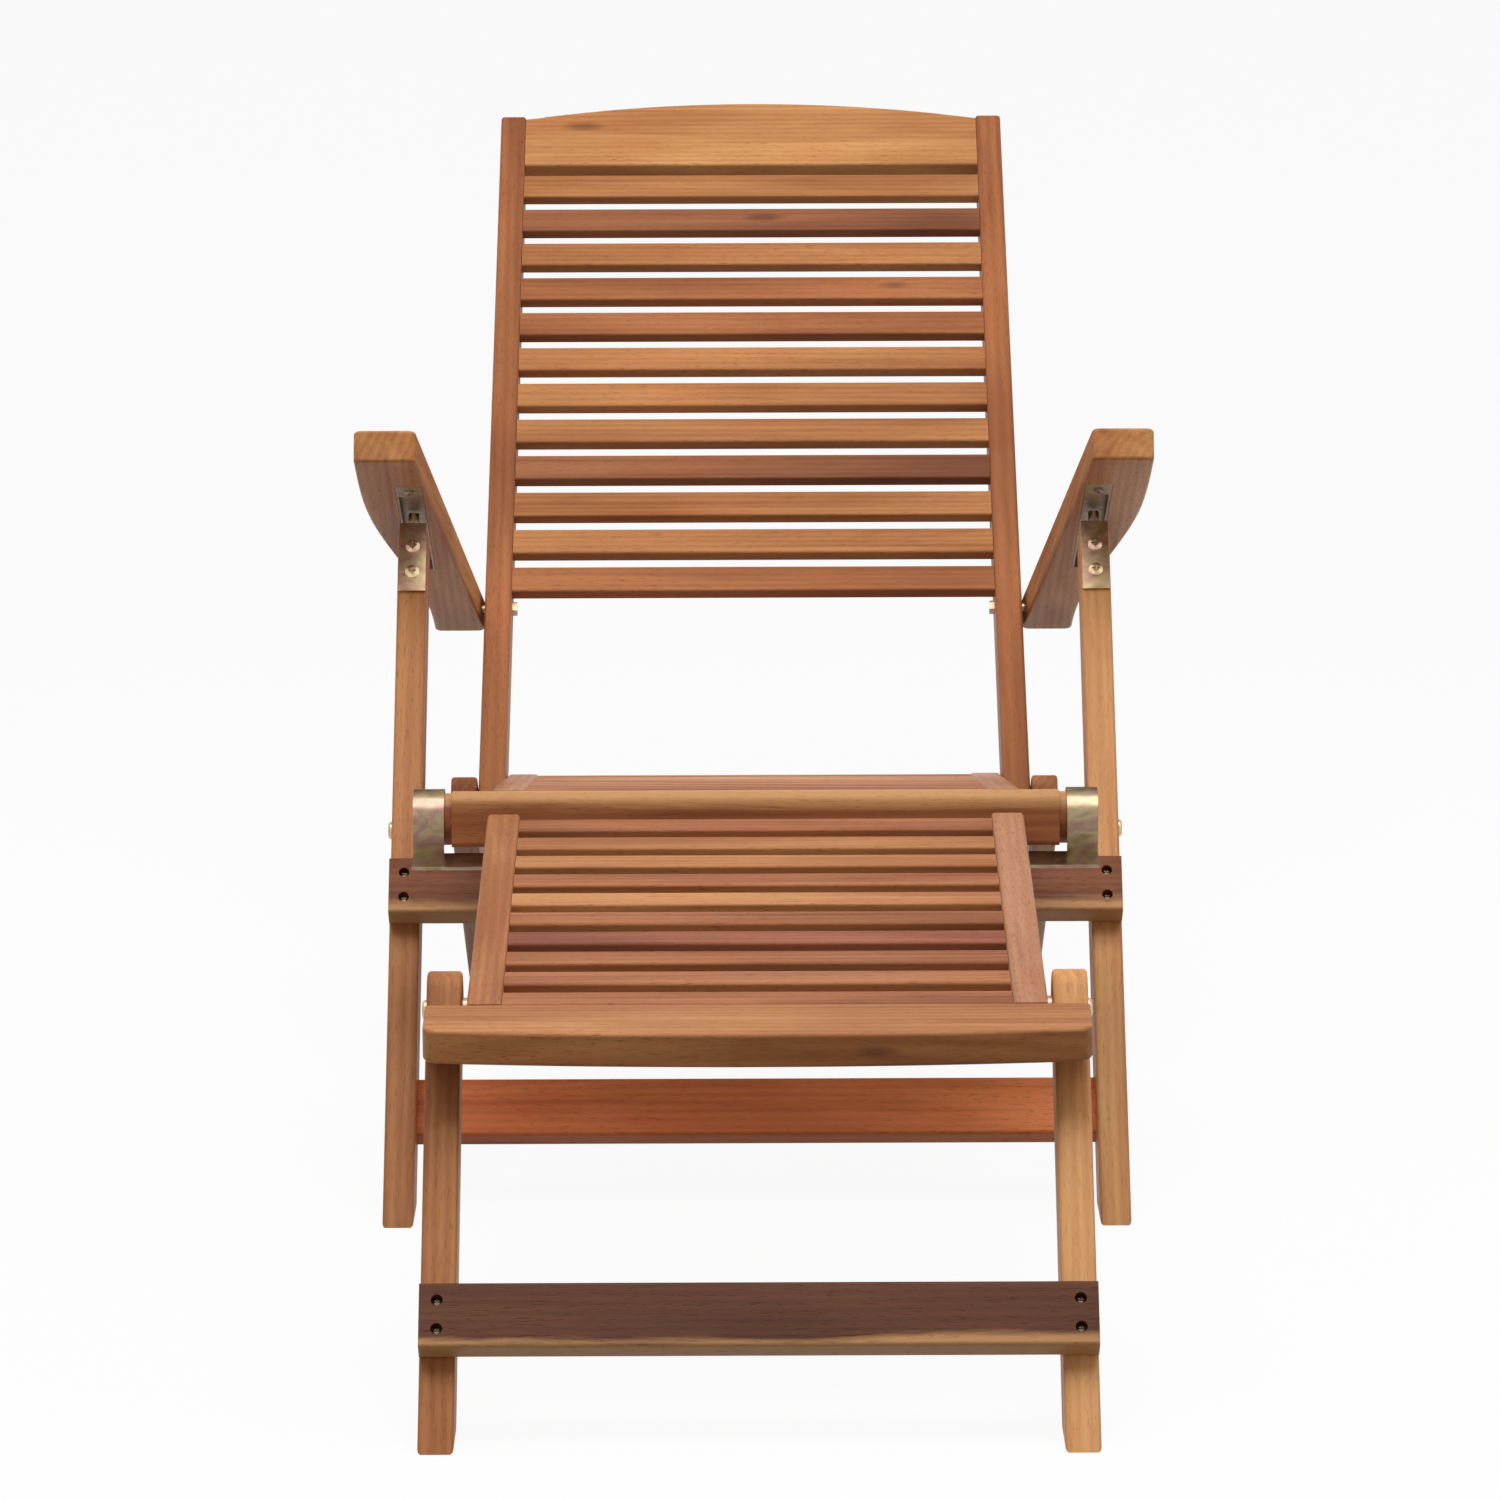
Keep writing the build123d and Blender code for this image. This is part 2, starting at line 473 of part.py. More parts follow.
def leg_rest():
    """Leg rest with slats, bowed front plank and the two strap hooks it hangs by."""
    frame = (HOOK_AXIS, LEG_REST_ANGLE)
    face = strip(*frame, REST_FRONT, -LEG_REST_CLEAR, REST_FLOOR, LEG_REST_TOP)
    rail = ease_sides(across(face, RAIL_IN, RAIL_OUT), EDGE_R) - bolt_hole(REST_PIVOT, RAIL_IN, RAIL_OUT)

    inner, outer = SPIGOT_R + SLIP, SPIGOT_R + SLIP + HOOK_T
    ring = Circle(outer) - Circle(inner)
    upper_half = ring & Pos(0, outer) * Rectangle(2 * outer, 2 * outer)
    bend = Pos(*HOOK_AXIS) * Rot(0, 0, LEG_REST_ANGLE) * upper_half
    bend += strip(*frame, -outer, -inner, REST_FLOOR - HOOK_T, 0)
    bend += strip(*frame, inner, outer, -HOOK_TAIL, 0)
    hook = across(bend, HOOK_IN, HOOK_OUT)
    plate = strip(*frame, -outer - HOOK_TAB, -inner, REST_FLOOR - HOOK_T, REST_FLOOR)
    hook += across(plate, RAIL_IN, HOOK_OUT)
    up = along(LEG_REST_ANGLE + RIGHT, 1.0)
    first = -LEG_REST_CLEAR - SCREW_HEAD_R
    fixings = []
    for s in (first - HOOK_SCREW_PITCH, first):
        y, z = local(*frame, s, REST_FLOOR - HOOK_T)
        at, way = ((RAIL_IN + RAIL_OUT) / 2, y, z), (0.0, *up)
        rail -= screw_hole(at, way)
        hook -= screw_hole(at, way)
        fixings.append(screw(at, way))
    nodes = {f"leg_rest_rail_{side}": s for side, s in pair(rail).items()}
    nodes |= {f"leg_rest_hook_{side}": s for side, s in pair(hook).items()}
    nodes["hook_screws"] = both(*fixings)

    pitch = (LEG_REST_RAIL_L - SLAT_REAR_GAP - SLAT_FRONT_GAP - LEG_REST_SLAT_W) / (LEG_REST_SLATS - 1)
    half = LEG_REST_SLAT_W / 2
    top = LEG_REST_TOP - SLAT_SET_DOWN
    for i in range(LEG_REST_SLATS):
        s = -LEG_REST_CLEAR - SLAT_REAR_GAP - half - i * pitch
        face = strip(*frame, s - half, s + half, top - LEG_REST_SLAT_T, top)
        nodes[f"leg_rest_slat_{i + 1:02d}"] = ease(across(face, -RAIL_IN, RAIL_IN), SLAT_EDGE_R)

    normal = (0.0, *up)
    plane = Plane(origin=(0.0, *local(*frame, REST_FRONT, LEG_REST_TOP)), x_dir=(1, 0, 0), z_dir=normal)
    half, deep = PLANK_L / 2, PLANK_W - PLANK_BOW
    bow = ThreePointArc((half, -deep), (0, -PLANK_W), (-half, -deep))
    plan = make_face([bow, Polyline((-half, -deep), (-half, 0), (half, 0), (half, -deep))])
    front = plan.vertices().sort_by(Axis.Y)[:2]
    plan = fillet(front, PLANK_CORNER)
    plank = plane * extrude(plan, amount=-PLANK_T)
    faces = plank.faces().sort_by(Axis((0, *REST_PIVOT), normal))
    nodes["leg_rest_plank"] = fillet(faces[0].edges() + faces[-1].edges(), EDGE_R)
    collar = rod(REST_PIVOT, SPACER_R, RAIL_OUT, REST_LEG_IN - TOUCH)
    collar -= bolt_hole(REST_PIVOT, RAIL_OUT, REST_LEG_IN)
    nodes["leg_rest_pivot_bolts"] = both(bolt(REST_PIVOT, RAIL_IN, REST_LEG_OUT), collar)
    return nodes


def leg_rest_legs():
    """Folding legs of the leg rest, their crossbar and its screws."""
    foot = REST_LEG_D + REST_PIVOT[1] / cos(radians(LEG_ANGLE))
    face = strip(REST_PIVOT, LEG_DIR, -foot, REST_LEG_TOP, -REST_LEG_D / 2, REST_LEG_D / 2)
    face = standing(soften(face, along(LEG_DIR, REST_LEG_TOP, REST_PIVOT), REST_LEG_D / 2 - SLIP))
    leg = ease_sides(across(face, REST_LEG_IN, REST_LEG_OUT), EDGE_R)
    leg -= bolt_hole(REST_PIVOT, REST_LEG_IN, REST_LEG_OUT)
    bar = crossbar(REST_PIVOT, REST_LEG_D / 2, REST_BAR_DROP, LOWER_BAR_T, REST_LEG_OUT)
    middle = (REST_LEG_IN + REST_LEG_OUT) / 2
    seats = bar_screws(REST_PIVOT, REST_LEG_D / 2, REST_BAR_DROP, LOWER_BAR_T, middle)
    for at, way in seats:
        hole = screw_hole(at, way)
        leg -= hole
        bar -= hole + mirror(hole, Plane.YZ)
    nodes = {f"leg_rest_leg_{side}": s for side, s in pair(leg).items()}
    nodes["leg_rest_crossbar"] = bar
    nodes["leg_rest_crossbar_screws"] = both(*[screw(at, way) for at, way in seats])
    return nodes


def lounger():
    """Every node of the lounger, centred over the origin."""
    nodes = seat_frame() | leg_frame() | back() | rear_legs() | armrests() | leg_rest() | leg_rest_legs()
    boxes = [shape.bounding_box() for shape in nodes.values()]
    middle = (min(b.min.Y for b in boxes) + max(b.max.Y for b in boxes)) / 2
    return {name: Pos(0, -middle, 0) * shape for name, shape in nodes.items()}, middle


NODES, MIDDLE_Y = lounger()
os.makedirs("parts", exist_ok=True)
for node_name, node_shape in NODES.items():
    export_step(node_shape, f"parts/{node_name}.step")
PIVOTS = {
    "leg": LEG_PIVOT,
    "back": BACK_PIVOT,
    "arm": ARM_PIVOT,
    "hook": HOOK_AXIS,
    "rest_leg": REST_PIVOT,
}
for pivot_name, (pivot_y, pivot_z) in PIVOTS.items():
    print(f"{pivot_name} pivot at Y {pivot_y - MIDDLE_Y:.3f}, Z {pivot_z:.3f}")
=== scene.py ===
# %% [markdown]
# # A folding sun lounger in oiled acacia
# The lounger comes out of CAD as solid boards, bolts and straps, each in its right place.
# Blender's part is to give them their finish: every board its own piece of timber, and the
# hardware its yellow plating. The frame is loaded first, and it stays the size that CAD gave
# it. The dressed lounger has to stay the size that CAD gave it.

# %% Load the frame
import math

import bpy
from mathutils import Matrix, Vector


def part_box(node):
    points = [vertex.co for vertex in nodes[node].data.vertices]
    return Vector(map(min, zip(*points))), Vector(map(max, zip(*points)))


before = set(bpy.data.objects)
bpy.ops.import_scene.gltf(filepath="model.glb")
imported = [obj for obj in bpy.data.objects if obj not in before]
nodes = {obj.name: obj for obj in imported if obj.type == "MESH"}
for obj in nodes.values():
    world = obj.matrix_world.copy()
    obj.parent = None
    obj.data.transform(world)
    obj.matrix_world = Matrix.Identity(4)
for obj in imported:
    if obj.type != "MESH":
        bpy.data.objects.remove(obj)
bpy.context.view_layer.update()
bpy.ops.object.select_all(action="DESELECT")

# %% [markdown]
# ## The camera
# The photograph was taken from far away with a long lens, so the sides hardly converge. A lens
# is known by its focal length in pixels: here 7188 on a picture 1500 wide, which is 172.5 mm
# on a 36 mm sensor. The camera could be aimed by a constraint, but angles in degrees keep the
# slight roll of the picture. It stands in front of the foot end and looks down a little.

# %% Camera
PICTURE_PX = 1500
FOCAL_PX = 7188
SENSOR_MM = 36.0
CAMERA_AT = Vector((-0.0099, -5.2542, 1.3146))
LOOK_DOWN = 11.106
ROLL = -0.19
YAW = -0.07

camera_data = bpy.data.cameras.new("photo_camera")
camera_data.sensor_width = SENSOR_MM
camera_data.lens = FOCAL_PX / PICTURE_PX * SENSOR_MM
camera = bpy.data.objects.new("photo_camera", camera_data)
bpy.context.scene.collection.objects.link(camera)
turn = Matrix.Rotation(math.radians(YAW), 4, "Z")
tilt = Matrix.Rotation(math.radians(90 - LOOK_DOWN), 4, "X")
lean = Matrix.Rotation(math.radians(ROLL), 4, "Z")
camera.matrix_world = Matrix.Translation(CAMERA_AT) @ turn @ tilt @ lean
bpy.context.scene.camera = camera
print("lens:", round(camera_data.lens, 1), "mm")

# %% [markdown]
# ## Helpers for node trees
# By hand, a node is added, its sockets are typed in or joined by wires, and the next one
# follows. These helpers do the same: where a socket is to be filled, they take either a plain
# value or the output of another node, so the lines below read like the sums that they are.

# %% Helpers for nodes
def link(tree, source, target):
    """Join an output to an input, or set the input to a plain value."""
    if hasattr(source, "is_output"):
        tree.links.new(source, target)
    else:
        target.default_value = source


def fill(tree, node, values):
    """Fill the inputs of a node by their names."""
    for name, value in values.items():
        link(tree, value, node.inputs[name])


def add_node(tree, kind, values):
    """A new node with some of its inputs filled."""
    node = tree.nodes.new(kind)
    fill(tree, node, values)
    return node


def math_node(tree, operation, *values, clamp=False):
    """The result of a Math node on one, two or three values."""
    node = tree.nodes.new("ShaderNodeMath")
    node.operation = operation
    node.use_clamp = clamp
    for value, socket in zip(values, node.inputs):
        link(tree, value, socket)
    return node.outputs[0]


def mix_shaders(tree, factor, first, second):
    """A Mix Shader node: the first shader at 0, the second at 1."""
    node = tree.nodes.new("ShaderNodeMixShader")
    for value, socket in zip((factor, first, second), node.inputs):
        link(tree, value, socket)
    return node.outputs[0]


def new_material(name):
    """A material with an empty node tree, and the tree."""
    material = bpy.data.materials.new(name)
    material.use_nodes = True
    material.node_tree.nodes.clear()
    return material, material.node_tree


print("helpers: link, fill, add_node, math_node, mix_shaders, new_material")

# %% [markdown]
# ## The ground
# A catalogue picture stands on white paper. Paper that is lit until it looks white also lights
# the lounger from below, and the undersides of the slats lose their shade. So the ground is
# made of two: Light Path tells the rays that only look from the rays that carry light. The
# first see mostly plain white, and the part that is lit in the ordinary way holds the shadow
# under the feet. The second meet a greyer paper that throws little light back up.

# %% Floor
FLOOR_SIZE = 60.0
FLOOR_DROP = 0.0004

bpy.ops.mesh.primitive_plane_add(size=FLOOR_SIZE, location=(0, 0, -FLOOR_DROP))
floor = bpy.context.object
floor.name = "studio_floor"
print("floor:", FLOOR_SIZE, "m square")

# %% White paper
FLOOR_SEEN = (0.90, 0.90, 0.90, 1.0)
FLOOR_BOUNCE = (0.30, 0.30, 0.30, 1.0)
FLOOR_WHITE = 0.93


def looking(tree):
    """1 for the rays that only look: camera, glossy and transmission rays."""
    path = tree.nodes.new("ShaderNodeLightPath").outputs
    seen = math_node(tree, "MAXIMUM", path["Is Camera Ray"], path["Is Glossy Ray"])
    return math_node(tree, "MAXIMUM", seen, path["Is Transmission Ray"])


paper, tree = new_material("studio_paper")
lit = add_node(tree, "ShaderNodeBsdfDiffuse", {"Color": FLOOR_SEEN})
white = add_node(tree, "ShaderNodeEmission", {})
bounce = add_node(tree, "ShaderNodeBsdfDiffuse", {"Color": FLOOR_BOUNCE})
shown = mix_shaders(tree, FLOOR_WHITE, lit.outputs[0], white.outputs[0])
ground = mix_shaders(tree, looking(tree), bounce.outputs[0], shown)
add_node(tree, "ShaderNodeOutputMaterial", {"Surface": ground})
floor.data.materials.append(paper)
print("paper:", FLOOR_WHITE, "plain white to the camera")

# %% [markdown]
# ## The light
# The photograph has broad, soft light from above and a little from the front, and hardly any
# hard shadow. One large area lamp overhead does most of it. Two weaker ones in front, left and
# right, open up the faces of the boards, and a dim white world fills the rest. A picture of a
# sky would do as well, but three lamps are easier to steer.

# %% World
WHITE = (1.0, 1.0, 1.0, 1.0)
WORLD_LIGHT = 0.24

world = bpy.data.worlds.new("studio_world")
bpy.context.scene.world = world
world.use_nodes = True
tree = world.node_tree
tree.nodes.clear()
soft = add_node(tree, "ShaderNodeBackground", {"Color": WHITE, "Strength": WORLD_LIGHT})
plain = add_node(tree, "ShaderNodeBackground", {"Color": WHITE})
sky = mix_shaders(tree, looking(tree), soft.outputs[0], plain.outputs[0])
add_node(tree, "ShaderNodeOutputWorld", {"Surface": sky})
bpy.context.scene.view_settings.view_transform = "Standard"
print("world light:", WORLD_LIGHT)

# %% Lamps
SOFTBOXES = {
    "overhead_softbox": {
        "at": (0.0, -0.9, 3.4), "aim": (0.0, 0.1, 0.3), "size": (3.4, 2.2), "watts": 96},
    "front_softbox": {
        "at": (-1.9, -4.2, 2.3), "aim": (0.0, 0.0, 0.35), "size": (1.8, 1.8), "watts": 10},
    "side_softbox": {
        "at": (2.9, -1.4, 1.8), "aim": (0.0, 0.1, 0.35), "size": (1.4, 1.6), "watts": 9},
}

for name, lamp in SOFTBOXES.items():
    data = bpy.data.lights.new(name, "AREA")
    data.shape = "RECTANGLE"
    data.size, data.size_y = lamp["size"]
    data.energy = lamp["watts"]
    box = bpy.data.objects.new(name, data)
    bpy.context.scene.collection.objects.link(box)
    box.location = lamp["at"]
    shine = Vector(lamp["aim"]) - Vector(lamp["at"])
    box.rotation_euler = shine.to_track_quat("-Z", "Y").to_euler()
print("lamps:", ", ".join(SOFTBOXES))

# %% [markdown]
# ## Acacia, as one node group
# Sawn acacia is striped, patchy, lined by its growth, flecked with pores and flushed with red.
# A picture of a board could be wrapped round each piece, but it would repeat, and its grain
# would not run through to the end faces. Noise in the solid does both: it is stretched along
# the grain, so the group expects coordinates whose X runs with the board. The group is built
# once. It hands out a colour, a roughness and a height, and the shader stays outside it.

# %% Sockets of the group
INPUTS = {
    "Vector": "NodeSocketVector",
    "Normal": "NodeSocketVector",
    "Seed": "NodeSocketFloat",
    "Light Wood": "NodeSocketColor",
    "Dark Wood": "NodeSocketColor",
    "Figure": "NodeSocketFloat",
    # the height below which a pale strip of painted light, a painted highlight, is laid on the wood
    "Painted Light Below": "NodeSocketFloat",
    "Knot": "NodeSocketVector",
    "Knot Size": "NodeSocketFloat",
}
OUTPUTS = {"Color": "NodeSocketColor", "Roughness": "NodeSocketFloat", "Height": "NodeSocketFloat"}
SEED_STEP = (3.7, 0.31, 0.23)
VALUE_RESULTS = ("DOT_PRODUCT", "LENGTH")

grain = bpy.data.node_groups.new("acacia_grain", "ShaderNodeTree")
for way, sockets in (("INPUT", INPUTS), ("OUTPUT", OUTPUTS)):
    for name, kind in sockets.items():
        grain.interface.new_socket(name, in_out=way, socket_type=kind)
given = grain.nodes.new("NodeGroupInput").outputs


def vector_math(tree, operation, *values):
    """The result of a Vector Math node on one, two or three vectors."""
    node = tree.nodes.new("ShaderNodeVectorMath")
    node.operation = operation
    for value, socket in zip(values, node.inputs):
        link(tree, value, socket)
    return node.outputs["Value" if operation in VALUE_RESULTS else "Vector"]


place = vector_math(grain, "MULTIPLY_ADD", SEED_STEP, given["Seed"], given["Vector"])
print("sockets:", ", ".join([*INPUTS, *OUTPUTS]))

# %% [markdown]
# ### Layers
# Every mark in the wood starts as the same thing: a noise, stretched by a scale per axis, of
# which the part between two values is spread from 0 to 1. A layer holds those numbers. A stain
# then lays a colour over the wood where a layer is 1, mostly by multiplying, as a dye would.

# %% Helpers for layers
COLOUR_A = 6
COLOUR_B = 7
COLOUR_RESULT = 2


def noise(tree, vector, layer):
    """A Noise Texture on coordinates stretched by the layer's scale."""
    node = add_node(tree, "ShaderNodeTexNoise", {
        "Vector": vector_math(tree, "MULTIPLY", vector, layer["scale"]),
        "Scale": 1.0,
        "Detail": layer["detail"],
        "Roughness": layer["rough"],
        "Distortion": layer["warp"],
    })
    return node.outputs["Fac"]


def between(tree, value, low, high):
    """A value spread from low..high to 0..1, held at both ends."""
    spread = {"Value": value, "From Min": low, "From Max": high}
    return add_node(tree, "ShaderNodeMapRange", spread).outputs["Result"]


def mask(tree, vector, layer):
    """A layer's noise, spread from 0 to 1."""
    return between(tree, noise(tree, vector, layer), *layer["range"])


def mix_colour(tree, factor, first, second, blend="MIX"):
    """A colour Mix node; its sockets go by number, because several share a name."""
    node = tree.nodes.new("ShaderNodeMix")
    node.data_type = "RGBA"
    node.blend_type = blend
    link(tree, factor, node.inputs["Factor"])
    link(tree, first, node.inputs[COLOUR_A])
    link(tree, second, node.inputs[COLOUR_B])
    return node.outputs[COLOUR_RESULT]


def stain(tree, colour, where, strength, tint, blend="MULTIPLY"):
    """A colour with a tint laid over it where a mask is 1."""
    return mix_colour(tree, math_node(tree, "MULTIPLY", where, strength), colour, tint, blend)


print("helpers: noise, between, mask, mix_colour, stain")

# %% [markdown]
# ### Figure
# Figure is what a joiner calls the pattern of a board. Streaks and patches are noises. Growth
# lines are the rings of the tree, cut lengthwise: a Wave Texture in rings round X, with its
# centre outside the board, and squeezed lengthwise so that the rings turn into long lines. The
# three are added by their shares, and the sum chooses between the board's dark and light wood.

# %% Streaks, patches and growth lines
STREAK = {"scale": (2.2, 34.0, 34.0), "detail": 6.0, "rough": 0.62, "warp": 0.6, "range": (0.34, 0.68)}
PATCH = {"scale": (3.0, 11.0, 11.0), "detail": 2.0, "rough": 0.5, "warp": 0.3, "range": (0.35, 0.65)}
RINGS = {"Scale": 52.0, "Distortion": 7.0, "Detail": 3.0, "Detail Scale": 0.5}
RING_SQUEEZE = (0.05, 1.0, 1.0)
RING_STEP = (0.9, 0.011, 0.007)
PITH = (0.0, 0.055, 0.035)
STREAK_SHARE = 0.48
PATCH_SHARE = 0.38
RING_SHARE = 0.14
MIDDLE = 0.5

streak = mask(grain, place, STREAK)
patch = mask(grain, place, PATCH)
squeezed = vector_math(grain, "MULTIPLY", given["Vector"], RING_SQUEEZE)
off_centre = vector_math(grain, "ADD", squeezed, PITH)
ring_place = vector_math(grain, "MULTIPLY_ADD", RING_STEP, given["Seed"], off_centre)
rings = add_node(grain, "ShaderNodeTexWave", {"Vector": ring_place, **RINGS})
rings.wave_type = "RINGS"
rings.rings_direction = "X"
figure = math_node(grain, "MULTIPLY", streak, STREAK_SHARE)
figure = math_node(grain, "MULTIPLY_ADD", patch, PATCH_SHARE, figure)
figure = math_node(grain, "MULTIPLY_ADD", rings.outputs["Fac"], RING_SHARE, figure)
contrast = math_node(grain, "SUBTRACT", figure, MIDDLE)
wood = math_node(grain, "MULTIPLY_ADD", contrast, given["Figure"], MIDDLE, clamp=True)
colour = mix_colour(grain, wood, given["Dark Wood"], given["Light Wood"])
print("figure: streaks", STREAK_SHARE, "patches", PATCH_SHARE, "growth lines", RING_SHARE)

# %% [markdown]
# ### Blush and heartwood
# Oil brings out a red blush in slow clouds, and narrow brown streaks of heartwood run through
# some boards. More colours could be mixed into the figure, but two stains over it keep both
# apart from the light and dark that the boards choose.

# %% Blush and heartwood
BLUSH = {"scale": (4.5, 16.0, 16.0), "detail": 3.0, "rough": 0.55, "warp": 0.8, "range": (0.48, 0.68)}
BLUSH_TINT = (0.94, 0.80, 0.74, 1.0)
BLUSH_STRENGTH = 0.75
HEART = {"scale": (1.5, 62.0, 62.0), "detail": 4.0, "rough": 0.6, "warp": 0.5, "range": (0.56, 0.74)}
HEART_TINT = (0.55, 0.40, 0.33, 1.0)
HEART_STRENGTH = 0.62

colour = stain(grain, colour, mask(grain, place, BLUSH), BLUSH_STRENGTH, BLUSH_TINT)
colour = stain(grain, colour, mask(grain, place, HEART), HEART_STRENGTH, HEART_TINT)
print("stains: blush", BLUSH_STRENGTH, "heartwood", HEART_STRENGTH)

# %% [markdown]
# ### Painted light strips and knots
# A pale strip of painted light, a highlight painted along the edge of a bar, lies below a height
# that the board sets. A knot is a dark spot round a point, drawn out along the grain. Both edges
# wander with the streaks, because a straight edge would look painted.

# %% Painted light strips and knots in the group
WANDER = 0.012
# The pale strip is painted light: a highlight painted along a bar's edge, in this pale colour
PAINTED_LIGHT_WOOD = (0.640, 0.330, 0.135, 1.0)
PAINTED_LIGHT_STRENGTH = 0.8
PAINTED_LIGHT_BLEND = 0.006
KNOT_STRETCH = (0.32, 1.0, 1.0)
KNOT_WANDER = 0.25
KNOT_BLEND = 0.004
KNOT_TINT = (0.30, 0.20, 0.16, 1.0)
KNOT_STRENGTH = 0.62

wander = math_node(grain, "MULTIPLY", math_node(grain, "SUBTRACT", streak, MIDDLE), WANDER)
height = add_node(grain, "ShaderNodeSeparateXYZ", {"Vector": given["Vector"]}).outputs["Z"]
# below the board's height the wood is painted over with the pale highlight colour
below = math_node(grain, "SUBTRACT", given["Painted Light Below"], height)
painted_light_strip = between(grain, math_node(grain, "ADD", below, wander), 0.0, PAINTED_LIGHT_BLEND)
colour = stain(grain, colour, painted_light_strip, PAINTED_LIGHT_STRENGTH, PAINTED_LIGHT_WOOD, "MIX")
apart = vector_math(grain, "SUBTRACT", given["Vector"], given["Knot"])
away = vector_math(grain, "LENGTH", vector_math(grain, "MULTIPLY", apart, KNOT_STRETCH))
inside = math_node(grain, "SUBTRACT", given["Knot Size"], away)
ragged = math_node(grain, "MULTIPLY_ADD", wander, KNOT_WANDER, inside)
knot = between(grain, ragged, 0.0, KNOT_BLEND)
colour = stain(grain, colour, knot, KNOT_STRENGTH, KNOT_TINT)
print("edges wander by", WANDER, "m")

# %% [markdown]
# ### Pores, end grain and the outputs
# Pores are short dark dashes, denser in the lighter patches. End grain drinks more oil than a
# face, so it is darker where the surface looks along X. The pores could be modelled as relief,
# but at this size a height for the bump and a duller gloss are enough.

# %% Pores, end grain and outputs
PORES = {"scale": (120.0, 760.0, 760.0), "detail": 2.0, "rough": 0.5, "warp": 0.0, "range": (0.56, 0.70)}
PORE_TINT = (0.30, 0.22, 0.17, 1.0)
PORES_LEAST = 0.10
PORES_PATCHY = 0.30
GRAIN_AXIS = (1.0, 0.0, 0.0)
END_FACING = (0.72, 0.96)
END_TINT = (0.52, 0.44, 0.40, 1.0)
END_STRENGTH = 0.22
DARK_WOOD_ROUGH = 0.52
LIGHT_WOOD_GAIN = -0.10
PORE_ROUGH = 0.12
WOOD_RELIEF = 0.35
PORE_RELIEF = -0.6

pores = mask(grain, place, PORES)
density = math_node(grain, "MULTIPLY_ADD", patch, PORES_PATCHY, PORES_LEAST)
colour = stain(grain, colour, pores, density, PORE_TINT)
facing = vector_math(grain, "DOT_PRODUCT", given["Normal"], GRAIN_AXIS)
end_grain = between(grain, math_node(grain, "ABSOLUTE", facing), *END_FACING)
colour = stain(grain, colour, end_grain, END_STRENGTH, END_TINT)
rough = math_node(grain, "MULTIPLY_ADD", wood, LIGHT_WOOD_GAIN, DARK_WOOD_ROUGH)
rough = math_node(grain, "MULTIPLY_ADD", pores, PORE_ROUGH, rough)
relief = math_node(grain, "MULTIPLY", wood, WOOD_RELIEF)
relief = math_node(grain, "MULTIPLY_ADD", pores, PORE_RELIEF, relief)
add_node(grain, "NodeGroupOutput", {"Color": colour, "Roughness": rough, "Height": relief})
print("grain group:", len(grain.nodes), "nodes")

# %% [markdown]
# ## One piece of timber per board
# No two boards of a lounger come from the same plank, and the eye finds it out at once when
# they match. So each board gets a material of its own: the same group, turned so that its X
# runs along that board, centred on it, with a seed and a tone from a short palette. A tone is
# a light wood and a dark wood. The oil leaves a low shine and the bump a faint touch of grain.

# %% Tones of the timber
TONES = {
    "straw": ((0.840, 0.440, 0.175), (0.580, 0.250, 0.088)),
    "honey": ((0.720, 0.355, 0.128), (0.460, 0.176, 0.056)),
    "amber": ((0.620, 0.268, 0.094), (0.340, 0.120, 0.038)),
    "copper": ((0.500, 0.186, 0.066), (0.260, 0.080, 0.027)),
    # brighter than this wood under any lamp: painted light for the lower crossbar, which lies in the
    # shade of the seat and the leg rest
    "redwood_painted_light": ((0.950, 0.285, 0.084), (0.640, 0.160, 0.045)),
    "rosewood": ((0.420, 0.130, 0.056), (0.220, 0.060, 0.028)),
    "chestnut": ((0.390, 0.146, 0.058), (0.195, 0.066, 0.026)),
    "cocoa": ((0.290, 0.086, 0.024), (0.140, 0.038, 0.010)),
    "umber": ((0.150, 0.046, 0.016), (0.076, 0.022, 0.007)),
    "rose": ((0.560, 0.260, 0.132), (0.360, 0.145, 0.066)),
}
print("tones:", ", ".join(TONES))

# %% Timber
FIGURE = 1.7
# a height below every board, so no painted light strip is laid
NO_PAINTED_LIGHT = -1.0
OIL_SHINE = 0.20
BUMP_STRENGTH = 0.35
BUMP_DISTANCE = 0.0006
ACROSS = Matrix.Identity(3)
TURNED_OVER = Matrix.Rotation(math.radians(180), 3, "X")


def sloping(degrees):
    """The turn that brings a board's length, at a slope in the side view, onto X."""
    level = Matrix.Rotation(math.radians(-degrees), 3, "X")
    return Matrix.Rotation(math.radians(-90), 3, "Z") @ level


def cover(node, material):
    """Give a piece one material in place of the one from CAD."""
    nodes[node].data.materials.clear()
    nodes[node].data.materials.append(material)


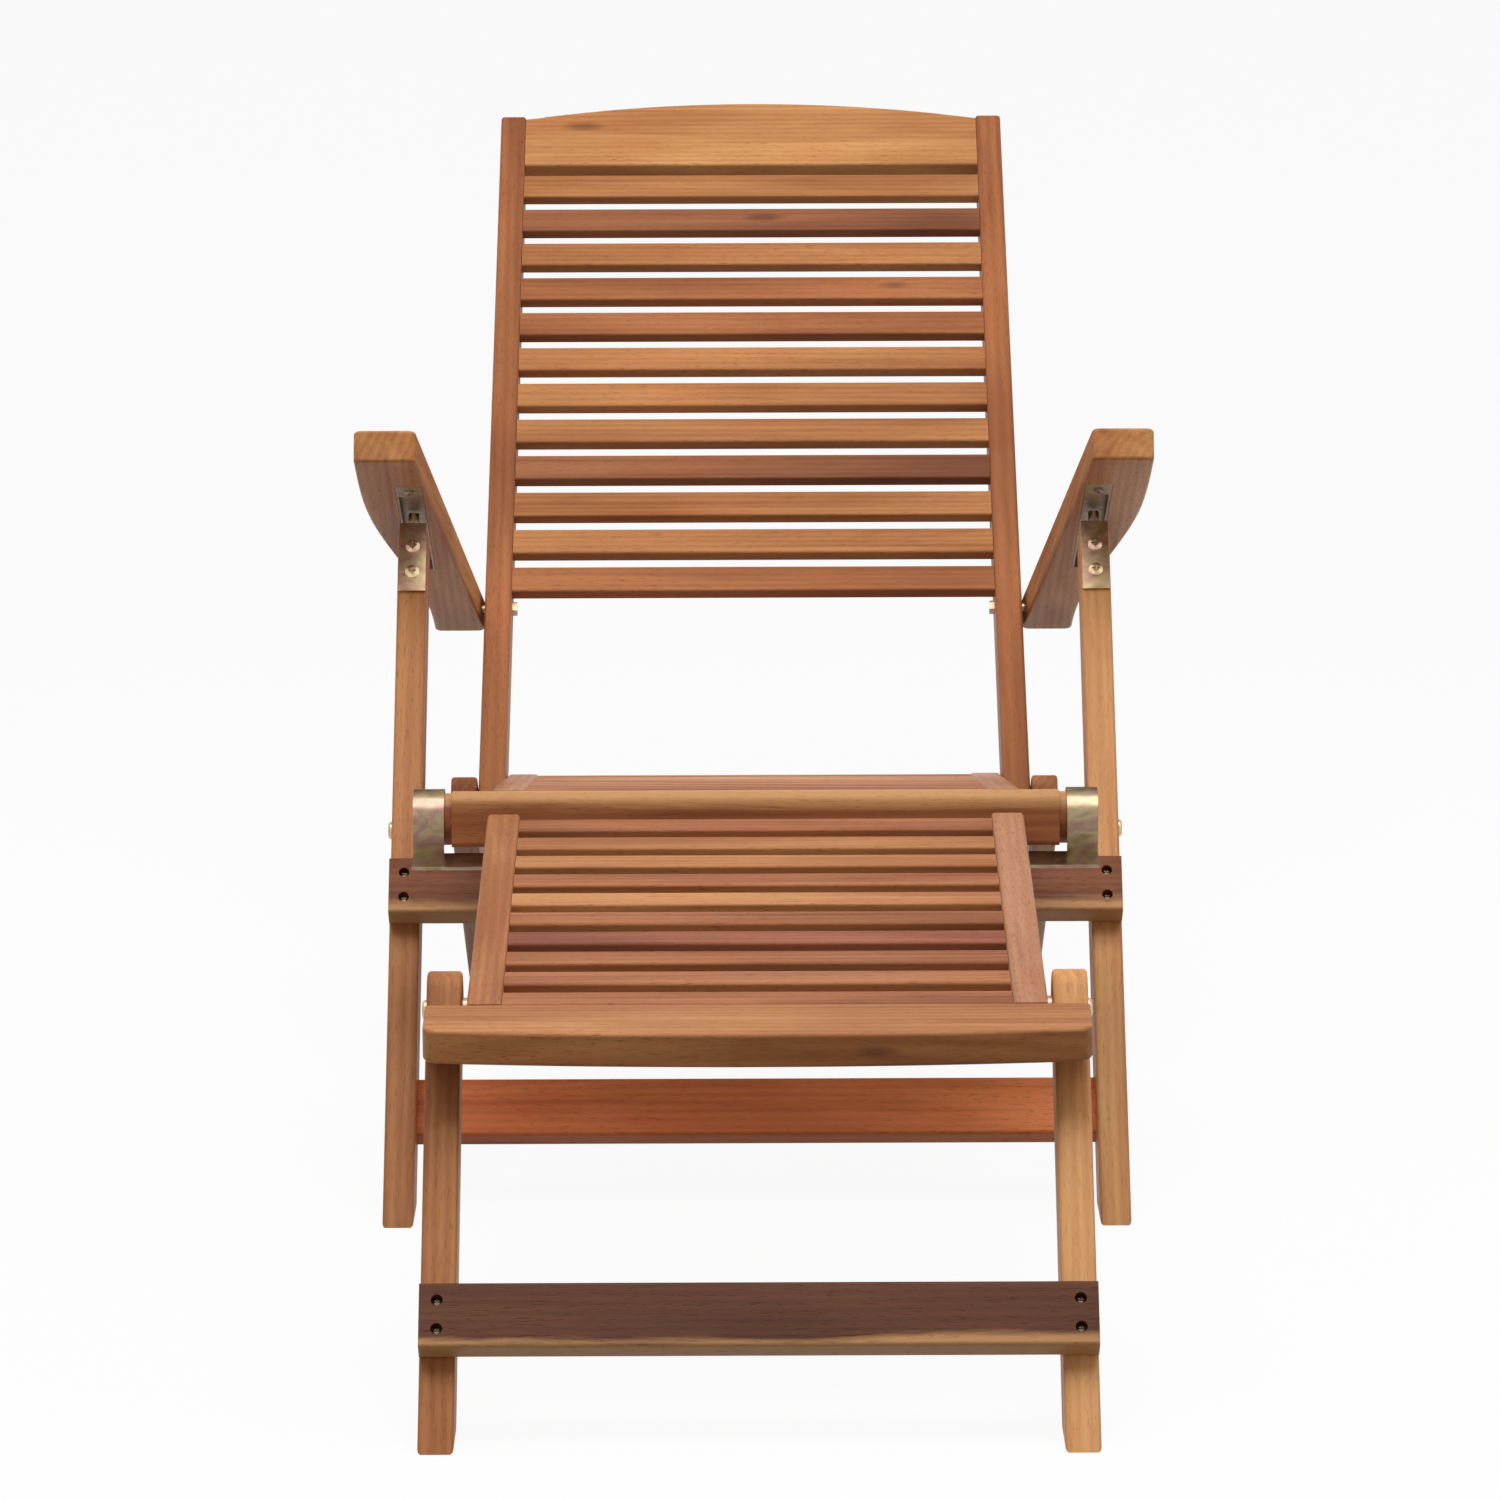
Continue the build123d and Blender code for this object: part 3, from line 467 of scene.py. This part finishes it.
def timber(node, turned, tone, seed):
    """Cover a board with its own acacia, its grain turned onto X."""
    low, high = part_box(node)
    light, dark = TONES[tone]
    material, tree = new_material("acacia_" + node)
    coords = tree.nodes.new("ShaderNodeTexCoord").outputs
    spot = add_node(tree, "ShaderNodeMapping", {
        "Vector": coords["Object"],
        "Rotation": turned.to_euler(),
        "Location": turned @ ((low + high) / -2),
    })
    face = tree.nodes.new("ShaderNodeMapping")
    face.vector_type = "VECTOR"
    fill(tree, face, {"Vector": coords["Normal"], "Rotation": turned.to_euler()})
    group = tree.nodes.new("ShaderNodeGroup")
    group.node_tree = grain
    fill(tree, group, {
        "Vector": spot.outputs[0],
        "Normal": face.outputs[0],
        "Seed": seed,
        "Light Wood": (*light, 1.0),
        "Dark Wood": (*dark, 1.0),
        "Figure": FIGURE,
        "Painted Light Below": NO_PAINTED_LIGHT,
    })
    bump = add_node(tree, "ShaderNodeBump", {
        "Strength": BUMP_STRENGTH,
        "Distance": BUMP_DISTANCE,
        "Height": group.outputs["Height"],
    })
    shader = add_node(tree, "ShaderNodeBsdfPrincipled", {
        "Base Color": group.outputs["Color"],
        "Roughness": group.outputs["Roughness"],
        "Specular IOR Level": OIL_SHINE,
        "Normal": bump.outputs[0],
    })
    add_node(tree, "ShaderNodeOutputMaterial", {"Surface": shader.outputs[0]})
    cover(node, material)


print("timber: figure", FIGURE, "shine", OIL_SHINE)

# %% [markdown]
# ## Choosing the boards
# Whoever built the lounger took boards as they came: a straw leg stands beside an amber one,
# and dark slats lie between light ones. The list gives every board the slope of its frame in
# the side view, so that its grain runs lengthwise, and the tone seen in the photograph. Chance
# could pick the tones, but then the dark slats would not lie where they do there.

# %% Boards
SEAT_SLOPE = -9.7
SEAT = sloping(SEAT_SLOPE)
LEG = sloping(49.8)
BACK = sloping(32.7)
REAR = sloping(-30.4)
REST = sloping(5.45)
ARM = sloping(-24.6)
BOARDS = [
    ("top_rail", ACROSS, "honey"),
    ("back_stile_left", BACK, "copper"),
    ("back_stile_right", BACK, "copper"),
    ("armrest_left", ARM, "honey"),
    ("armrest_right", ARM, "honey"),
    ("arm_leg_left", LEG, "amber"),
    ("arm_leg_right", LEG, "straw"),
    ("upper_crossbar", ACROSS, "cocoa"),
    # the lower crossbar's bright tone is painted light against the shade it lies in
    ("lower_crossbar", ACROSS, "redwood_painted_light"),
    ("rear_leg_left", REAR, "copper"),
    ("rear_leg_right", REAR, "amber"),
    ("rear_stretcher", ACROSS, "copper"),
    ("seat_rail_left", SEAT, "rose"),
    ("seat_rail_right", SEAT, "rose"),
    ("seat_front_bar", TURNED_OVER, "copper"),
    ("seat_slats", ACROSS, "amber"),
    ("leg_rest_rail_left", REST, "amber"),
    ("leg_rest_rail_right", REST, "rose"),
    ("leg_rest_plank", ACROSS, "amber"),
    ("leg_rest_leg_left", LEG, "amber"),
    ("leg_rest_leg_right", LEG, "straw"),
    ("leg_rest_crossbar", ACROSS, "umber"),
]
SLAT_TONES = {
    "back_slat": ("copper", "amber", "amber", "chestnut", "amber", "amber",
                  "amber", "copper", "copper", "amber", "chestnut", "amber"),
    "leg_rest_slat": ("copper", "amber", "amber", "copper", "amber", "copper",
                      "rosewood", "copper", "copper", "copper"),
}

for stem, tones in SLAT_TONES.items():
    BOARDS += [(f"{stem}_{i:02d}", ACROSS, tone) for i, tone in enumerate(tones, 1)]
for seed, (node, turned, tone) in enumerate(BOARDS):
    timber(node, turned, tone, float(seed))
print("boards:", len(BOARDS))

# %% [markdown]
# ## Painted light and marks of single boards
# A few boards are known by a mark of their own. Two crossbars have a pale strip along their foot:
# painted light, where their rounded lower edges catch the light off the white floor. The seat's
# front bar has its pale strip of painted light on top, where its rounded top edge catches the light
# from above, so its grain is turned over. The plank has a short dark shake in its front, and there
# are knots in the top rail and in two slats of the back. The group has inputs for both, which stay
# switched off elsewhere, so a mark is set on the board that has it.

# %% Painted light strips and knots
# Heights below which a pale strip of painted light is laid: painted highlights on the lower edges of two
# crossbars and, turned over, on the top edge of the seat's front bar
PAINTED_LIGHT_STRIPS = {"upper_crossbar": 0.002, "leg_rest_crossbar": -0.004, "seat_front_bar": -0.010}
KNOTS = {
    "top_rail": {"Knot": (-0.142, 0.003, 0.014), "Knot Size": 0.0080},
    "back_slat_11": {"Knot": (0.010, 0.0, 0.004), "Knot Size": 0.0060},
    "back_slat_09": {"Knot": (0.118, 0.0, 0.004), "Knot Size": 0.0055},
    "leg_rest_plank": {"Knot": (0.076, -0.029, -0.004), "Knot Size": 0.0062},
}


def wood_of(node):
    """The tree of a board's material and the grain group in it."""
    tree = nodes[node].active_material.node_tree
    return tree, next(n for n in tree.nodes if n.type == "GROUP")


for node, strip_height in PAINTED_LIGHT_STRIPS.items():
    fill(*wood_of(node), {"Painted Light Below": strip_height})
for node, knot in KNOTS.items():
    fill(*wood_of(node), knot)
print("marked boards:", ", ".join([*PAINTED_LIGHT_STRIPS, *KNOTS]))

# %% [markdown]
# ## The seat, slat by slat
# The seat's slats are one CAD piece, so one material covers them all. To make them look like
# separate boards, the material counts slats along the slope of the seat: the place along the
# slope, divided by the pitch and rounded down, is the slat's number. The number is the seed, and
# a White Noise node turns it into a tone between two of the palette's.

# %% Seat slats
SEAT_PITCH = 0.0427
SEAT_TONES = ("copper", "honey")
SEEDS_APART = 3.0

tree, group = wood_of("seat_slats")
slope = math.radians(SEAT_SLOPE)
spot = group.inputs["Vector"].links[0].from_socket
run = vector_math(tree, "DOT_PRODUCT", spot, (0.0, math.cos(slope), math.sin(slope)))
number = math_node(tree, "FLOOR", math_node(tree, "DIVIDE", run, SEAT_PITCH))
chance = tree.nodes.new("ShaderNodeTexWhiteNoise")
chance.noise_dimensions = "1D"
fill(tree, chance, {"W": number})
fill(tree, group, {"Seed": math_node(tree, "MULTIPLY", number, SEEDS_APART)})
for shade, socket in enumerate(("Light Wood", "Dark Wood")):
    first, second = [(*TONES[tone][shade], 1.0) for tone in SEAT_TONES]
    fill(tree, group, {socket: mix_colour(tree, chance.outputs["Value"], first, second)})
print("seat slats:", SEAT_PITCH, "m apart")

# %% [markdown]
# ## Yellow zinc
# The hooks, straps, bolts and screws are steel with a yellow chromate over zinc. It is a bright
# metal with a thin film on it, so it drifts from gold to pink to green over a few centimetres.
# Thin film could be set on the shader, but a soft noise through a colour ramp is easier to
# match, and a finer noise breaks up the gloss. The hooks are a shade darker than the bolts, and
# the tracks and the sunk screws darker and duller: their darker tones are painted shade, for the
# shadow they lie in, and the dullness is a rougher gloss.

# %% Plated hardware
ZINC_DRIFT = {"scale": (22.0, 30.0, 52.0), "detail": 3.0, "rough": 0.55, "warp": 0.4}
ZINC_SCUFF = {"scale": (240.0, 240.0, 240.0), "detail": 4.0, "rough": 0.6, "warp": 0.0}
SCUFF_ROUGH = 0.22
GOLD = (0.36, 0.25, 0.12)
PALE_GOLD = (0.52, 0.41, 0.24)
PINK = (0.42, 0.25, 0.20)
GREEN = (0.36, 0.28, 0.16)
RAMP = {0.3: GOLD, 0.4: PALE_GOLD, 0.5: PINK, 0.6: PALE_GOLD, 0.7: GREEN}


def plating(name, tone, rough):
    """Plated steel whose colour drifts along a ramp, lighter or darker by its tone; a darker tone paints
    shade onto it.
    """
    material, tree = new_material(name)
    coords = tree.nodes.new("ShaderNodeTexCoord").outputs["Object"]
    ramp = add_node(tree, "ShaderNodeValToRGB", {"Fac": noise(tree, coords, ZINC_DRIFT)})
    stops = ramp.color_ramp.elements
    while len(stops) < len(RAMP):
        stops.new(MIDDLE)
    for stop, (position, colour) in zip(stops, RAMP.items()):
        stop.position = position
        stop.color = (*(tone * c for c in colour), 1.0)
    scuff = noise(tree, coords, ZINC_SCUFF)
    shader = add_node(tree, "ShaderNodeBsdfPrincipled", {
        "Base Color": ramp.outputs["Color"],
        "Metallic": 1.0,
        "Roughness": math_node(tree, "MULTIPLY_ADD", scuff, SCUFF_ROUGH, rough),
    })
    add_node(tree, "ShaderNodeOutputMaterial", {"Surface": shader.outputs[0]})
    return material


# darker tones for the hooks, the tracks and the sunk screws: painted shade for the shadow they lie in
plated = {
    "hook": plating("hook_zinc_painted_shade", tone=0.66, rough=0.20),
    "track": plating("track_zinc_painted_shade", tone=0.55, rough=0.42),
    "crossbar_screws": plating("sunk_zinc_painted_shade", tone=0.55, rough=0.42),
}
bright = plating("yellow_zinc", tone=1.25, rough=0.24)
boards = {node for node, _, _ in BOARDS}
hardware = [node for node in nodes if node not in boards]
for node in hardware:
    cover(node, next((plated[word] for word in plated if word in node), bright))
print("plated pieces:", len(hardware))
